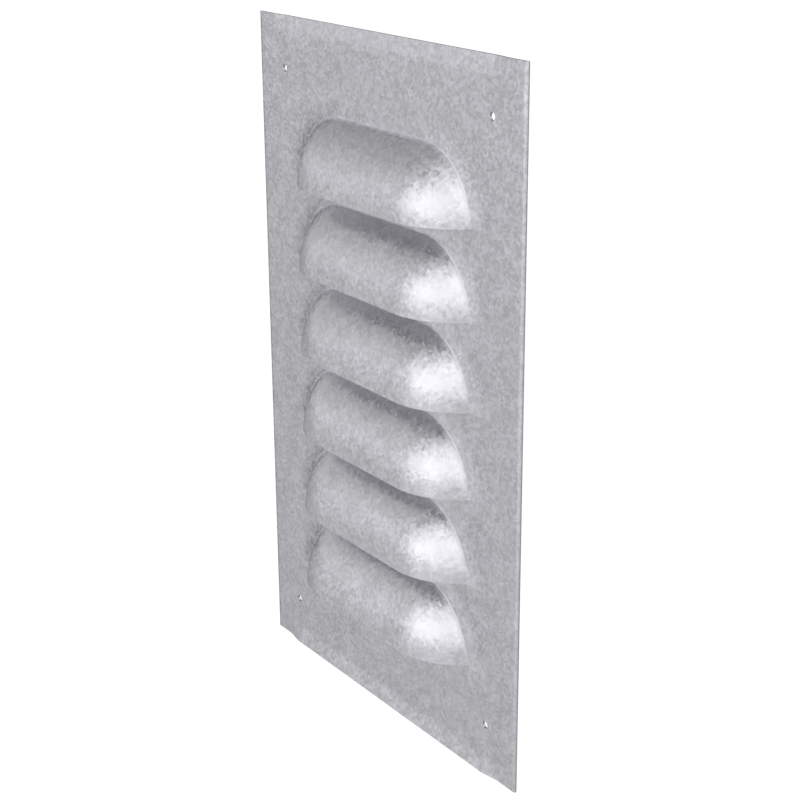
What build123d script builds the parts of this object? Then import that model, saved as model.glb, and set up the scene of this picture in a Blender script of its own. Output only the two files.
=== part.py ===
"""Louvred wall plate, pressed from one galvanised steel sheet.

Six hooded louvres are drawn out of the front and lanced open along their lower edge.
The sheet's top strip leans back to the wall and its bottom strip leans out as a drip edge.
Four holes near the corners take the fixing screws.

X runs across the plate, Z up it, and the front faces -Y.
The origin is the centre of the fixing holes, on the back face of the sheet.
"""
from build123d import *
import math
import os

# Driving dimensions, millimetres
sheet = 1.25                  # thickness of the steel
plate_width = 200.0
plate_height = 320.0
edge_round = 0.75             # soft front edge that the shear leaves

hole_diameter = 3.5
hole_side_inset = 21.5        # from the plate's sides
hole_end_inset = 24.0         # from its top and bottom edges

louvre_count = 6
louvre_pitch = 40.0
louvre_length = 130.0
louvre_height = 32.5          # from the lip up to the crease, and the radius of both ends
louvre_stand_out = 16.3       # of the lip, in front of the sheet
first_lip_drop = 73.1         # from the plate's top edge to the highest lip
lip_lift = 1.0                # how far drawing the metal pulls up the ends of a lip
crease_round = 1.0            # inside of the bend where a louvre leaves the sheet

strip_height = 7.5            # both bent edge strips
top_set_back = 1.2
bottom_set_out = 1.85
strip_inset = 12.5            # flat corner left beside each strip
strip_turn = 9.0              # width over which a strip turns into its corner
strip_bend = 2.5              # length of sheet that each strip's bend takes up

patch_margin = 3.0            # flat sheet around a louvre that is modelled with it
overrun = 5.0                 # how far tools reach past what they cut
pick_margin = 0.01            # how near a plane an edge lies to be picked from it

# Worked out from the above
half_straight = louvre_length / 2 - louvre_height
crown_radius = (louvre_height**2 + louvre_stand_out**2) / (2 * louvre_stand_out)
crown_depth = crown_radius - louvre_stand_out
lip_heights = [plate_height / 2 - first_lip_drop - i * louvre_pitch for i in range(louvre_count)]
hole_places = [
    Pos(i * (plate_width / 2 - hole_side_inset), 0, k * (plate_height / 2 - hole_end_inset))
    for i in (-1, 1)
    for k in (-1, 1)
]


def strip_section(x, side, depth):
    """The sheet cut through at x, from where a strip's bend starts to the strip's edge.

    side is 1 at the top and -1 at the bottom, and depth is how far the strip leans back.
    """
    fold = side * (plate_height / 2 - strip_height)
    half_bend = strip_bend / 2
    lean = depth / strip_height
    rise = side * math.sqrt(1 - lean**2)
    start = (x, 0, fold - side * half_bend)
    end = (x, lean * half_bend, fold + rise * half_bend)
    edge = (x, depth, fold + rise * strip_height)
    bend = TangentArc(start, end, tangent=(0, 0, side)) if depth else Line(start, end)
    back = [bend, Line(end, edge)]
    front = [Pos(0, -sheet, 0) * piece for piece in back]
    cuts = [Line(corner, Vector(corner) - (0, sheet, 0)) for corner in (start, edge)]
    return make_face([*back, *front, *cuts])


def bent_end(side, depth):
    """One end of the sheet: the leaning strip, its two turns and its two flat corners."""
    flat_end = plate_width / 2 - strip_inset
    strip_end = flat_end - strip_turn
    middle = strip_section(-strip_end, side, depth)
    panels = [extrude(middle, amount=2 * strip_end, dir=(1, 0, 0))]
    for hand in (-1, 1):
        flat = strip_section(hand * flat_end, side, 0)
        panels.append(loft([strip_section(hand * strip_end, side, depth), flat], ruled=True))
        panels.append(extrude(flat, amount=strip_inset, dir=(hand, 0, 0)))
    return panels


def blank():
    """The sheared sheet with its two bent ends and soft front side edges."""
    middle = plate_height - 2 * strip_height - strip_bend
    body = Pos(0, -sheet / 2, 0) * Box(plate_width, sheet, middle)
    for panel in bent_end(1, top_set_back) + bent_end(-1, -bottom_set_out):
        body += panel
    upright = body.edges().filter_by(Axis.Z).group_by(Axis.X)
    front_sides = [side.sort_by(Axis.Y)[0] for side in (upright[0], upright[-1])]
    return fillet(front_sides, edge_round)


def punch(radius):
    """The tool that draws a louvre: a round bar with ball ends, sunk behind the sheet."""
    tool = Rot(0, 90, 0) * Cylinder(radius, 2 * half_straight)
    for hand in (-1, 1):
        tool += Pos(hand * half_straight, 0, 0) * Sphere(radius)
    return Pos(0, crown_depth - sheet, 0) * tool


def slab(low, high, front, back):
    """A block as long as a louvre patch, between two heights and two depths."""
    width = louvre_length + 2 * patch_margin
    return Pos(0, (front + back) / 2, (low + high) / 2) * Box(width, back - front, high - low)


def lip_relief(reach):
    """What the lifted ends of a lip leave out, in front of the sheet."""
    start = (half_straight, -sheet, 0)
    tip = (louvre_length / 2 + patch_margin, -sheet, lip_lift)
    below = [(x, -sheet, -overrun) for x in (tip[0], start[0])]
    outline = TangentArc(start, tip, tangent=(1, 0, 0)) + Polyline(tip, *below, start)
    end = extrude(make_face(outline), amount=reach, dir=(0, -1, 0))
    return end + mirror(end, Plane.YZ)


def crease_edges(body, depth):
    """The bend, at one depth, where a louvre leaves the sheet: its top and its two ends."""
    on_face = body.edges().filter_by_position(Axis.Y, depth - pick_margin, depth + pick_margin)
    top = on_face.sort_by_distance((0, depth, louvre_height))[0]
    ends = on_face.filter_by(GeomType.CIRCLE).sort_by(SortBy.LENGTH)[-2:]
    return [top, *ends]


def louvre_patch():
    """A patch of sheet with one louvre drawn out of it, its lip at height zero."""
    top = louvre_height + patch_margin
    reach = louvre_stand_out + overrun
    dome = punch(crown_radius) & slab(0, top, -sheet - reach, -sheet / 2)
    hollow = punch(crown_radius - sheet) & slab(0, top, -sheet - reach, overrun)
    patch = slab(-patch_margin, top, -sheet, 0) + (dome - lip_relief(reach)) - hollow
    patch = fillet(crease_edges(patch, -sheet), crease_round)
    return fillet(crease_edges(patch, 0), crease_round + sheet)


def louvred_plate():
    """The whole pressing."""
    body = blank()
    window = slab(-patch_margin, louvre_height + patch_margin, -overrun, overrun)
    patch = louvre_patch()
    for z in lip_heights:
        body -= Pos(0, 0, z) * window
        body += Pos(0, 0, z) * patch
    drill = Rot(90, 0, 0) * Cylinder(hole_diameter / 2, 2 * overrun)
    for place in hole_places:
        body -= place * drill
    return body


os.makedirs("parts", exist_ok=True)
export_step(louvred_plate(), "parts/louvred_plate.step")
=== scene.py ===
"""Galvanised louvred wall plate in a soft white studio.

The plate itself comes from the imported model. This file gives it its zinc finish, then sets the
floor, the light and the camera round it. Lengths are in metres and the plate's front faces -Y.
"""
import math

import bpy
from bpy.props import FloatProperty, FloatVectorProperty, IntProperty, PointerProperty
from bpy.types import Operator, Panel, PropertyGroup
from mathutils import Matrix, Vector


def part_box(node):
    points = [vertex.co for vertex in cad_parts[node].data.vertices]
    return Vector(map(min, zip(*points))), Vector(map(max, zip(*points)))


bl_info = {
    "name": "Louvred wall plate",
    "version": (1, 0, 0),
    "blender": (4, 5, 0),
    "location": "3D View > Sidebar > Louvred plate",
    "description": "Gives a louvred steel plate its galvanised finish and sets up its studio",
    "category": "Object",
}

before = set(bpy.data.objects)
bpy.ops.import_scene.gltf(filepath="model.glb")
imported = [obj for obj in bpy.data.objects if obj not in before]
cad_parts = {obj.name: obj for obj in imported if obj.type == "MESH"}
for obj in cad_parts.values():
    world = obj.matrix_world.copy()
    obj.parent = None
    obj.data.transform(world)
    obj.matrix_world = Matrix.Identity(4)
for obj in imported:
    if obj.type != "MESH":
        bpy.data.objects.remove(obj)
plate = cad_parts["louvred_plate"]
plate_low, plate_high = (Vector(corner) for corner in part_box("louvred_plate"))
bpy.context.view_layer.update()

# Kinds of socket, and sockets that a node's names don't tell apart
NUMBER = "NodeSocketFloat"
VECTOR = "NodeSocketVector"
MIX_FACTOR, MIX_FIRST, MIX_SECOND, MIX_COLOUR = 0, 6, 7, 2
FIRST_SHADER, SECOND_SHADER = 1, 2
WHITE = (1.0, 1.0, 1.0, 1.0)

# The coat
NOISE_MIDDLE = (0.5, 0.5, 0.5)
NOISE_SPREAD = 2.0               # brings noise round its middle to between -1 and 1
CRYSTAL_WANDER = 0.2             # how far a crystal's border strays, as a share of its size
FINE_DETAIL = 1.0                # of the noise behind the borders and the hollows
CLOUD_DETAIL = 4.0
CLOUD_ROUGHNESS = 0.6
CLOUD_RANGE = (0.3, 0.7)         # noise in the darkest and the lightest patches
CUT_EDGE_SLOPES = (0.1, 0.3)     # how far a face looks forward or back: bare steel, full coat

# The drawn louvres, measured from their outline on the sheet
SHOULDER_START = (-0.0006, 0.0002)   # where the foot of a louvre turns into its shoulder
CREASE_REACH = (0.0004, 0.0014)      # where the crease's roughness starts and ends to fade
FOOT_SHARES = (-0.5, 1.1)            # of the foot's tilt, at a lip and at a louvre's top
LIP_FADE = 0.002                     # height over which the shoulder starts above a lip

# The light all round, by the height or the side that a direction points to, from -1 to 1
SKY_HEIGHTS = (0.0, 0.61)        # from the horizon's light to the sky's
SIDE_HEIGHTS = (0.19, 0.44)      # from the side light's low brightness to its high one
SIDE_REACH = (-0.38, 0.78)       # from no side light to all of it

FLOOR_ROUGHNESS = 0.9
SENSOR_WIDTH = 36.0              # millimetres
NEAR_CLIP = 0.01


class PlateFinish(PropertyGroup):
    """The zinc coat and the bare cut edges of the plate."""

    zinc: FloatVectorProperty(
        name="Zinc",
        description="Colour of the coat",
        default=(0.507, 0.502, 0.534),
        subtype="COLOR",
        min=0,
        max=1,
    )
    cut_steel: FloatVectorProperty(
        name="Cut steel",
        description="Colour of the sheared edges",
        default=(0.31, 0.31, 0.325),
        subtype="COLOR",
        min=0,
        max=1,
    )
    crystal: FloatProperty(
        name="Crystal size",
        description="Width of one spangle crystal",
        default=0.0014,
        unit="LENGTH",
    )
    tilt: FloatProperty(
        name="Crystal tilt",
        description="How far a crystal's face may lean",
        default=math.radians(2.8),
        subtype="ANGLE",
    )
    shade: FloatProperty(
        name="Crystal shade",
        description="How much lighter or darker one crystal is than the next",
        default=0.14,
        subtype="FACTOR",
        min=0,
        max=1,
    )
    ripple: FloatProperty(
        name="Ripple size",
        description="Width of one soft hollow in the coat",
        default=0.0035,
        unit="LENGTH",
    )
    ripple_tilt: FloatProperty(
        name="Ripple tilt",
        description="How far the side of a hollow may lean",
        default=math.radians(3.5),
        subtype="ANGLE",
    )
    cloud: FloatProperty(
        name="Cloud size",
        description="Width of the dull patches in the coat",
        default=0.012,
        unit="LENGTH",
    )
    cloud_shade: FloatProperty(
        name="Cloud shade",
        description="How much the dull patches darken the coat",
        default=0.05,
        subtype="FACTOR",
        min=0,
        max=1,
    )
    roughness: FloatProperty(
        name="Roughness",
        description="Roughness of the coat",
        default=0.36,
        subtype="FACTOR",
        min=0,
        max=1,
    )
    roughness_spread: FloatProperty(
        name="Roughness spread",
        description="How much rougher or smoother than that a crystal may be",
        default=0.05,
        subtype="FACTOR",
        min=0,
        max=1,
    )
    glancing_tint: FloatVectorProperty(
        name="Glancing tint",
        description="Colour of the coat where it is seen at a glancing angle",
        default=(0.55, 0.55, 0.55),
        subtype="COLOR",
        min=0,
        max=1,
    )
    shoulder: FloatProperty(
        name="Shoulder",
        description="Width of the soft rise that drawing leaves beside a louvre's ends",
        default=0.012,
        unit="LENGTH",
    )
    shoulder_tilt: FloatProperty(
        name="Shoulder tilt",
        description="How far the sheet leans where that rise is steepest",
        default=math.radians(16),
        subtype="ANGLE",
    )
    foot: FloatProperty(
        name="Foot",
        description="Width over which a louvre's end flattens towards the sheet",
        default=0.007,
        unit="LENGTH",
    )
    foot_tilt: FloatProperty(
        name="Foot tilt",
        description="How far a louvre's end flattens there",
        default=math.radians(12),
        subtype="ANGLE",
    )
    crease_roughness: FloatProperty(
        name="Crease roughness",
        description="Roughness that bending adds where a louvre's end leaves the sheet",
        default=0.3,
        subtype="FACTOR",
        min=0,
        max=1,
    )
    edge_round: FloatProperty(
        name="Edge round",
        description="Width of the rounded edge that lies outside the edge roll",
        default=0.0007,
        unit="LENGTH",
    )
    edge_roll: FloatProperty(
        name="Edge roll",
        description="How far in from the sides the soft roll reaches that shearing leaves",
        default=0.0024,
        unit="LENGTH",
    )
    edge_roll_tilt: FloatProperty(
        name="Edge roll tilt",
        description="How far the sheet leans at its side edges",
        default=math.radians(18),
        subtype="ANGLE",
    )
    louvre_count: IntProperty(
        name="Louvre count",
        description="Number of louvres",
        default=6,
        min=1,
    )
    louvre_pitch: FloatProperty(
        name="Louvre pitch",
        description="Height from one louvre's lip to the next",
        default=0.04,
        unit="LENGTH",
    )
    louvre_round: FloatProperty(
        name="Louvre round",
        description="Radius of a louvre's ends, seen from the front",
        default=0.0325,
        unit="LENGTH",
    )
    louvre_straight: FloatProperty(
        name="Louvre straight",
        description="Half the length of a louvre between its ends",
        default=0.0325,
        unit="LENGTH",
    )
    lowest_lip: FloatProperty(
        name="Lowest lip",
        description="Height of the lowest louvre's lip",
        default=-0.1131,
        unit="LENGTH",
    )


class VentStage(PropertyGroup):
    """The floor, the light and the camera."""

    floor_drop: FloatProperty(
        name="Floor drop",
        description="How far under the plate the floor lies",
        default=0.4,
        unit="LENGTH",
    )
    floor_width: FloatProperty(
        name="Floor width",
        description="Width of the square floor",
        default=40.0,
        unit="LENGTH",
    )
    floor_tone: FloatProperty(
        name="Floor tone",
        description="How white the floor is in the plate's reflections",
        default=0.64,
        subtype="FACTOR",
        min=0,
        max=1,
    )
    floor_white: FloatProperty(
        name="Floor white",
        description="Brightness of the floor as the camera sees it",
        default=1.05,
        min=0,
    )
    horizon_light: FloatProperty(
        name="Horizon light",
        description="Brightness of the light all round, low down",
        default=1.14,
        min=0,
    )
    sky_light: FloatProperty(
        name="Sky light",
        description="Brightness of the light all round, high up",
        default=0.58,
        min=0,
    )
    side_light: FloatVectorProperty(
        name="Side light",
        description="Brightness on the camera's side, low down and high up",
        default=(1.66, 2.32),
        size=2,
        min=0,
    )
    side_azimuth: FloatProperty(
        name="Side light azimuth",
        description="How far round to the right the side light is centred",
        default=math.radians(90),
        subtype="ANGLE",
    )
    glow: FloatProperty(
        name="Glow",
        description="Brightness that the soft glow in front of the plate adds",
        default=1.25,
        min=0,
    )
    glow_azimuth: FloatProperty(
        name="Glow azimuth",
        description="How far round to the right the glow is centred",
        default=math.radians(-8.6),
        subtype="ANGLE",
    )
    glow_elevation: FloatProperty(
        name="Glow elevation",
        description="How far up the glow is centred",
        default=math.radians(8.6),
        subtype="ANGLE",
    )
    glow_reach: FloatProperty(
        name="Glow reach",
        description="Angle from the glow's centre to where it ends",
        default=math.radians(35),
        subtype="ANGLE",
    )
    pool: FloatProperty(
        name="Pool",
        description="Brightness that the pool of light adds to the floor in front of the plate",
        default=0.42,
        min=0,
    )
    pool_spread: FloatProperty(
        name="Pool spread",
        description="Angle of the lamp that throws the pool of light",
        default=math.radians(76),
        subtype="ANGLE",
    )
    lamp_height: FloatProperty(
        name="Lamp height",
        description="Height of that lamp over the floor",
        default=2.5,
        unit="LENGTH",
    )
    lamp_forward: FloatProperty(
        name="Lamp forward",
        description="How far in front of the plate that lamp hangs",
        default=2.2,
        unit="LENGTH",
    )
    lamp_size: FloatProperty(
        name="Lamp size",
        description="Radius of that lamp",
        default=0.2,
        unit="LENGTH",
    )
    focal_length: FloatProperty(
        name="Focal length",
        description="Of the camera's lens, for a 36 mm sensor",
        default=77.62,
        unit="CAMERA",
    )
    distance: FloatProperty(
        name="Camera distance",
        description="From the camera to the point it looks at",
        default=0.7745,
        unit="LENGTH",
    )
    azimuth: FloatProperty(
        name="Camera azimuth",
        description="How far round to the right the camera stands",
        default=math.radians(55.30),
        subtype="ANGLE",
    )
    elevation: FloatProperty(
        name="Camera elevation",
        description="How far up the camera stands",
        default=math.radians(19.53),
        subtype="ANGLE",
    )
    roll: FloatProperty(
        name="Camera roll",
        description="Lean of the camera about its view",
        default=math.radians(-0.37),
        subtype="ANGLE",
    )
    aim: FloatVectorProperty(
        name="Camera aim",
        description="Point the camera looks at",
        default=(0.0135, -0.00125, -0.001),
        subtype="TRANSLATION",
        unit="LENGTH",
    )


def direction(azimuth, elevation):
    """Unit vector from the plate towards a place to its front right and up."""
    level = math.cos(elevation)
    return Vector((level * math.sin(azimuth), -level * math.cos(azimuth), math.sin(elevation)))


def facing(place, target, roll):
    """A camera's matrix at one place, looking at another."""
    turn = (target - place).to_track_quat("-Z", "Y").to_matrix().to_4x4()
    return Matrix.Translation(place) @ turn @ Matrix.Rotation(roll, 4, "Z")


class NodeDesk:
    """Adds nodes to one tree and links them by socket name."""

    def __init__(self, tree):
        self.tree = tree
        tree.nodes.clear()

    def add(self, kind, settings=None, **inputs):
        """A node with its settings, its inputs given as values or as other nodes' outputs."""
        node = self.tree.nodes.new(kind)
        for name, value in (settings or {}).items():
            setattr(node, name, value)
        for name, value in inputs.items():
            self.feed(node, name.replace("_", " "), value)
        return node

    def feed(self, node, socket, value):
        """Sets one input, by name or number, to a value or to another node's output."""
        target = node.inputs[socket]
        if isinstance(value, bpy.types.NodeSocket):
            self.tree.links.new(value, target)
        else:
            target.default_value = value

    def math(self, operation, *values):
        """The result of a number operation."""
        node = self.add("ShaderNodeMath", {"operation": operation})
        for index, value in enumerate(values):
            self.feed(node, index, value)
        return node.outputs["Value"]

    def product(self, first, *others):
        """Several numbers multiplied together."""
        for value in others:
            first = self.math("MULTIPLY", first, value)
        return first

    def vector(self, operation, *values):
        """The result of a vector operation."""
        node = self.add("ShaderNodeVectorMath", {"operation": operation})
        for index, value in enumerate(values):
            name = "Scale" if operation == "SCALE" and index == 1 else index
            self.feed(node, name, value)
        return node.outputs["Value" if operation == "DOT_PRODUCT" else "Vector"]

    def split(self, value):
        """The X, Y and Z outputs of a vector."""
        return self.add("ShaderNodeSeparateXYZ", Vector=value).outputs

    def group(self, tree, **inputs):
        """The outputs of a node group, placed with its inputs."""
        return self.add("ShaderNodeGroup", {"node_tree": tree}, **inputs).outputs

    def between(self, value, low, high, to_low=0.0, to_high=1.0):
        """A value mapped smoothly from one range to another."""
        node = self.add(
            "ShaderNodeMapRange",
            {"interpolation_type": "SMOOTHSTEP"},
            Value=value,
            From_Min=low,
            From_Max=high,
            To_Min=to_low,
            To_Max=to_high,
        )
        return node.outputs["Result"]


def group_with(name, inputs, outputs):
    """A node group with named sockets: its tree, its desk, its inputs and its output node."""
    tree = bpy.data.node_groups.new(name, "ShaderNodeTree")
    for way, sockets in (("INPUT", inputs), ("OUTPUT", outputs)):
        for socket, kind in sockets.items():
            tree.interface.new_socket(socket, in_out=way, socket_type=kind)
    desk = NodeDesk(tree)
    return tree, desk, desk.add("NodeGroupInput").outputs, desk.add("NodeGroupOutput")


def random_vector(desk, colour, size):
    """A random colour as a vector whose parts lie between minus and plus a size."""
    centred = desk.vector("SUBTRACT", colour, NOISE_MIDDLE)
    return desk.vector("SCALE", centred, desk.product(size, NOISE_SPREAD))


def spangle_group():
    """Zinc crystals and soft hollows: a shade for each crystal, and a normal that leans."""
    inputs = {"Vector": VECTOR}
    inputs.update(dict.fromkeys(("Crystal Size", "Tilt", "Ripple Size", "Ripple Tilt"), NUMBER))
    outputs = {"Shade": NUMBER, "Normal": VECTOR}
    tree, desk, given, result = group_with("Zinc spangle", inputs, outputs)
    per_metre = desk.math("DIVIDE", 1.0, given["Crystal Size"])
    wander = desk.add(
        "ShaderNodeTexNoise",
        Vector=given["Vector"],
        Scale=per_metre,
        Detail=FINE_DETAIL,
    ).outputs["Color"]
    stray = desk.product(given["Crystal Size"], CRYSTAL_WANDER)
    place = desk.vector("ADD", given["Vector"], random_vector(desk, wander, stray))
    crystals = desk.add("ShaderNodeTexVoronoi", Vector=place, Scale=per_metre).outputs["Color"]
    hollows = desk.add(
        "ShaderNodeTexNoise",
        Vector=given["Vector"],
        Scale=desk.math("DIVIDE", 1.0, given["Ripple Size"]),
        Detail=FINE_DETAIL,
    ).outputs["Color"]
    lean = random_vector(desk, crystals, given["Tilt"])
    sway = random_vector(desk, hollows, given["Ripple Tilt"])
    surface = desk.add("ShaderNodeNewGeometry").outputs["Normal"]
    leaning = desk.vector("ADD", surface, desk.vector("ADD", lean, sway))
    desk.feed(result, "Normal", desk.vector("NORMALIZE", leaning))
    shade = desk.add("ShaderNodeSeparateColor", Color=crystals).outputs["Red"]
    desk.feed(result, "Shade", shade)
    return tree


def cut_edge_group():
    """Where the sheet is sheared through: 1 on faces that look along the sheet."""
    tree, desk, _, result = group_with("Cut edge", {}, {"Mask": NUMBER})
    surface = desk.add("ShaderNodeNewGeometry").outputs["Normal"]
    forward = desk.math("ABSOLUTE", desk.split(surface)["Y"])
    desk.feed(result, "Mask", desk.between(forward, *CUT_EDGE_SLOPES, 1.0, 0.0))
    return tree


def lean_sideways(desk, normal, amount, side):
    """A normal leant to the plate's nearer side on its front, and away from it on its back."""
    surface = desk.add("ShaderNodeNewGeometry").outputs["Normal"]
    amount = desk.product(amount, desk.math("SIGN", side), desk.split(surface)["Y"], -1.0)
    lean = desk.add("ShaderNodeCombineXYZ", X=amount).outputs["Vector"]
    return desk.vector("NORMALIZE", desk.vector("ADD", normal, lean))


def shoulder_group():
    """The soft form that drawing leaves at a louvre's ends: a leaning normal, and the crease.

    The sheet beside an end rises towards it, and the foot of the end flattens out.
    """
    sizes = ("Reach", "Tilt", "Foot", "Foot Tilt")
    places = ("Pitch", "Count", "Round", "Straight", "Lowest Lip")
    inputs = {"Vector": VECTOR, "Normal": VECTOR, **dict.fromkeys(sizes + places, NUMBER)}
    outputs = {"Normal": VECTOR, "Crease": NUMBER}
    tree, desk, given, result = group_with("Draw shoulder", inputs, outputs)
    reach, tilt, foot, foot_tilt = (given[name] for name in sizes)
    pitch, count, end_round, straight, lowest_lip = (given[name] for name in places)
    place = desk.split(given["Vector"])

    across = desk.math("SUBTRACT", desk.math("ABSOLUTE", place["X"]), straight)
    across = desk.math("MAXIMUM", across, 0.0)
    above = desk.math("SUBTRACT", place["Z"], lowest_lip)
    up = desk.math("FLOORED_MODULO", above, pitch)
    squares = [desk.product(side, side) for side in (across, up)]
    gap = desk.math("SUBTRACT", desk.math("SQRT", desk.math("ADD", *squares)), end_round)
    over_lowest = desk.math("GREATER_THAN", above, 0.0)
    under_top = desk.math("LESS_THAN", above, desk.product(pitch, count))
    beside = desk.product(over_lowest, under_top)

    outside = desk.between(gap, *SHOULDER_START)
    rise = desk.product(desk.between(gap, 0.0, reach, 1.0, 0.0), tilt, outside)
    depth = desk.product(gap, -1.0)
    inside = desk.math("SUBTRACT", 1.0, outside)
    foot_share = desk.between(up, 0.0, end_round, *FOOT_SHARES)
    flatten = desk.product(
        desk.between(depth, 0.0, foot, 1.0, 0.0), foot_tilt, foot_share, inside
    )
    sideways = desk.math("SQRT", desk.math("DIVIDE", across, end_round))
    lean = desk.math("SUBTRACT", rise, flatten)
    lean = desk.product(lean, beside, sideways, desk.between(up, 0.0, LIP_FADE))
    desk.feed(result, "Normal", lean_sideways(desk, given["Normal"], lean, place["X"]))

    crease = desk.between(desk.math("ABSOLUTE", gap), *CREASE_REACH, 1.0, 0.0)
    crease = desk.product(crease, beside, desk.math("DIVIDE", up, end_round))
    desk.feed(result, "Crease", crease)
    return tree


def edge_roll_group():
    """The soft roll that shearing leaves along the plate's two sides, as a leaning normal."""
    sizes = ("Half Width", "Edge Round", "Reach", "Tilt")
    inputs = {"Vector": VECTOR, "Normal": VECTOR, **dict.fromkeys(sizes, NUMBER)}
    tree, desk, given, result = group_with("Edge roll", inputs, {"Normal": VECTOR})
    half_width, edge_round, reach, tilt = (given[name] for name in sizes)
    side = desk.split(given["Vector"])["X"]
    inset = desk.math("SUBTRACT", half_width, desk.math("ABSOLUTE", side))
    lean = desk.product(desk.between(inset, edge_round, reach, 1.0, 0.0), tilt)
    desk.feed(result, "Normal", lean_sideways(desk, given["Normal"], lean, side))
    return tree


def galvanised_sheet(finish):
    """Hot-dipped zinc on steel sheet, bare on its cut edges."""
    material = bpy.data.materials.new("galvanised_sheet")
    material.use_nodes = True
    desk = NodeDesk(material.node_tree)
    place = desk.add("ShaderNodeTexCoord").outputs["Object"]
    spangle = desk.group(
        spangle_group(),
        Vector=place,
        Crystal_Size=finish.crystal,
        Tilt=finish.tilt,
        Ripple_Size=finish.ripple,
        Ripple_Tilt=finish.ripple_tilt,
    )
    shoulder = desk.group(
        shoulder_group(),
        Vector=place,
        Normal=spangle["Normal"],
        Reach=finish.shoulder,
        Tilt=finish.shoulder_tilt,
        Foot=finish.foot,
        Foot_Tilt=finish.foot_tilt,
        Pitch=finish.louvre_pitch,
        Count=finish.louvre_count,
        Round=finish.louvre_round,
        Straight=finish.louvre_straight,
        Lowest_Lip=finish.lowest_lip,
    )
    roll = desk.group(
        edge_roll_group(),
        Vector=place,
        Normal=shoulder["Normal"],
        Half_Width=plate_high.x,
        Edge_Round=finish.edge_round,
        Reach=finish.edge_roll,
        Tilt=finish.edge_roll_tilt,
    )
    clouds = desk.add(
        "ShaderNodeTexNoise",
        Vector=place,
        Scale=1 / finish.cloud,
        Detail=CLOUD_DETAIL,
        Roughness=CLOUD_ROUGHNESS,
    ).outputs["Fac"]

    def by_crystal(middle, spread):
        """A number that differs from crystal to crystal, by a spread each way."""
        return desk.between(spangle["Shade"], 0.0, 1.0, middle - spread, middle + spread)

    darkest, lightest = 1 - finish.cloud_shade, 1 + finish.cloud_shade
    cloud_shade = desk.between(clouds, *CLOUD_RANGE, darkest, lightest)
    shade = desk.product(by_crystal(1, finish.shade / 2), cloud_shade)
    colour = desk.add("ShaderNodeMix", {"data_type": "RGBA"})
    desk.feed(colour, MIX_FACTOR, desk.group(cut_edge_group())["Mask"])
    desk.feed(colour, MIX_FIRST, desk.vector("SCALE", tuple(finish.zinc), shade))
    desk.feed(colour, MIX_SECOND, (*finish.cut_steel, 1.0))
    crease = desk.product(shoulder["Crease"], finish.crease_roughness)
    roughness = by_crystal(finish.roughness, finish.roughness_spread)
    shader = desk.add(
        "ShaderNodeBsdfPrincipled",
        Base_Color=colour.outputs[MIX_COLOUR],
        Metallic=1.0,
        Roughness=desk.math("ADD", roughness, crease),
        Normal=roll["Normal"],
        Specular_Tint=(*finish.glancing_tint, 1.0),
    )
    desk.add("ShaderNodeOutputMaterial", Surface=shader.outputs["BSDF"])
    return material


class VENT_OT_finish_plate(Operator):
    """Gives the louvred plate its galvanised finish"""

    bl_idname = "vent.finish_plate"
    bl_label = "Finish plate"

    def execute(self, context):
        material = galvanised_sheet(context.scene.plate_finish)
        plate.data.materials.clear()
        plate.data.materials.append(material)
        return {"FINISHED"}


def studio_world(stage, scene):
    """Soft light all round, brighter on the camera's side, with a low glow in front."""
    world = bpy.data.worlds.new("soft_studio")
    world.use_nodes = True
    desk = NodeDesk(world.node_tree)
    place = desk.add("ShaderNodeTexCoord").outputs["Generated"]
    height = desk.split(place)["Z"]
    around = desk.between(height, *SKY_HEIGHTS, stage.horizon_light, stage.sky_light)
    sideways = tuple(direction(stage.side_azimuth, 0))
    side = desk.between(desk.vector("DOT_PRODUCT", place, sideways), *SIDE_REACH)
    bright = desk.between(height, *SIDE_HEIGHTS, *stage.side_light)
    extra = desk.product(side, desk.math("SUBTRACT", bright, around))
    ahead = tuple(direction(stage.glow_azimuth, stage.glow_elevation))
    reach = math.cos(stage.glow_reach)
    glow = desk.between(desk.vector("DOT_PRODUCT", place, ahead), reach, 1.0, 0.0, stage.glow)
    strength = desk.math("ADD", desk.math("ADD", around, extra), glow)
    light = desk.add("ShaderNodeBackground", Color=WHITE, Strength=strength)
    desk.add("ShaderNodeOutputWorld", Surface=light.outputs["Background"])
    scene.world = world


def pale_floor(stage):
    """The floor's material: white to the camera, and dimmer where the plate reflects it."""
    material = bpy.data.materials.new("pale_floor")
    material.use_nodes = True
    desk = NodeDesk(material.node_tree)
    tone = (stage.floor_tone,) * 3
    lit = desk.add(
        "ShaderNodeBsdfPrincipled", Base_Color=(*tone, 1.0), Roughness=FLOOR_ROUGHNESS
    )
    white = desk.add("ShaderNodeEmission", Color=WHITE, Strength=stage.floor_white)
    seen = desk.add("ShaderNodeLightPath").outputs["Is Camera Ray"]
    shader = desk.add("ShaderNodeMixShader", Fac=seen)
    desk.feed(shader, FIRST_SHADER, lit.outputs["BSDF"])
    desk.feed(shader, SECOND_SHADER, white.outputs["Emission"])
    desk.add("ShaderNodeOutputMaterial", Surface=shader.outputs["Shader"])
    return material


def studio_floor(stage, collection):
    """A wide pale floor well under the plate."""
    half = stage.floor_width / 2
    low = plate_low.z - stage.floor_drop
    mesh = bpy.data.meshes.new("studio_floor")
    corners = [(-half, -half, low), (half, -half, low), (half, half, low), (-half, half, low)]
    mesh.from_pydata(corners, [], [(0, 1, 2, 3)])
    mesh.materials.append(pale_floor(stage))
    floor = bpy.data.objects.new("studio_floor", mesh)
    collection.objects.link(floor)


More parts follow.
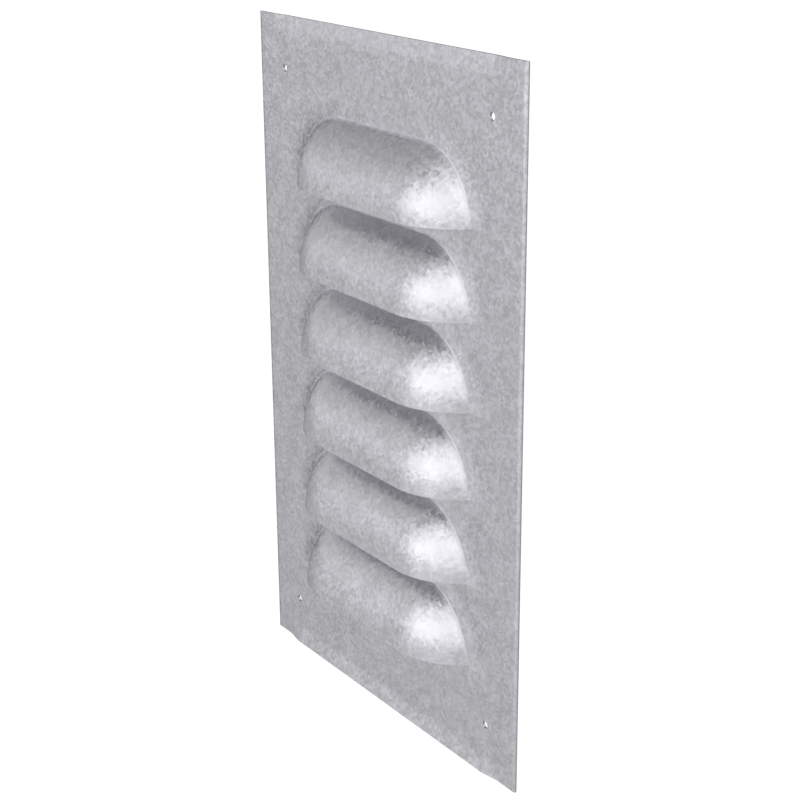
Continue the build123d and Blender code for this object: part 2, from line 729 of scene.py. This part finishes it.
def floor_light(stage, collection):
    """A soft lamp that looks straight down in front of the plate, and misses the plate."""
    light = bpy.data.lights.new("floor_light", "SPOT")
    light.spot_size = stage.pool_spread
    light.spot_blend = 1.0
    light.shadow_soft_size = stage.lamp_size
    light.energy = stage.pool / stage.floor_tone * (2 * math.pi * stage.lamp_height) ** 2
    lamp = bpy.data.objects.new("floor_light", light)
    floor = plate_low.z - stage.floor_drop
    lamp.location = (0.0, -stage.lamp_forward, floor + stage.lamp_height)
    collection.objects.link(lamp)


def photo_camera(stage, scene):
    """The camera that the photograph was taken with."""
    lens = bpy.data.cameras.new("photo_camera")
    lens.sensor_width = SENSOR_WIDTH
    lens.lens = stage.focal_length
    lens.clip_start = NEAR_CLIP
    lens.clip_end = 2 * stage.floor_width
    camera = bpy.data.objects.new("photo_camera", lens)
    aim = Vector(stage.aim)
    place = aim + stage.distance * direction(stage.azimuth, stage.elevation)
    camera.matrix_world = facing(place, aim, stage.roll)
    scene.collection.objects.link(camera)
    scene.camera = camera


class VENT_OT_set_stage(Operator):
    """Sets the floor, the light and the camera round the plate"""

    bl_idname = "vent.set_stage"
    bl_label = "Set stage"

    def execute(self, context):
        scene = context.scene
        stage = scene.vent_stage
        scene.view_settings.view_transform = "Standard"
        studio_world(stage, scene)
        studio_floor(stage, scene.collection)
        floor_light(stage, scene.collection)
        photo_camera(stage, scene)
        return {"FINISHED"}


class VENT_PT_panel(Panel):
    """Lists what the file makes"""

    bl_label = "Louvred plate"
    bl_idname = "VENT_PT_panel"
    bl_space_type = "VIEW_3D"
    bl_region_type = "UI"
    bl_category = "Louvred plate"

    def draw(self, context):
        for settings, operator in (
            (context.scene.plate_finish, VENT_OT_finish_plate.bl_idname),
            (context.scene.vent_stage, VENT_OT_set_stage.bl_idname),
        ):
            box = self.layout.box()
            for name in settings.__annotations__:
                box.prop(settings, name)
            box.operator(operator)


CLASSES = (PlateFinish, VentStage, VENT_OT_finish_plate, VENT_OT_set_stage, VENT_PT_panel)


def register():
    """Registers the classes and their settings."""
    for cls in CLASSES:
        bpy.utils.register_class(cls)
    bpy.types.Scene.plate_finish = PointerProperty(type=PlateFinish)
    bpy.types.Scene.vent_stage = PointerProperty(type=VentStage)


def unregister():
    """Takes out what register put in."""
    del bpy.types.Scene.vent_stage
    del bpy.types.Scene.plate_finish
    for cls in reversed(CLASSES):
        bpy.utils.unregister_class(cls)


def main():
    """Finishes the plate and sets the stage."""
    register()
    bpy.ops.vent.finish_plate()
    bpy.ops.vent.set_stage()


if __name__ == "__main__":
    main()
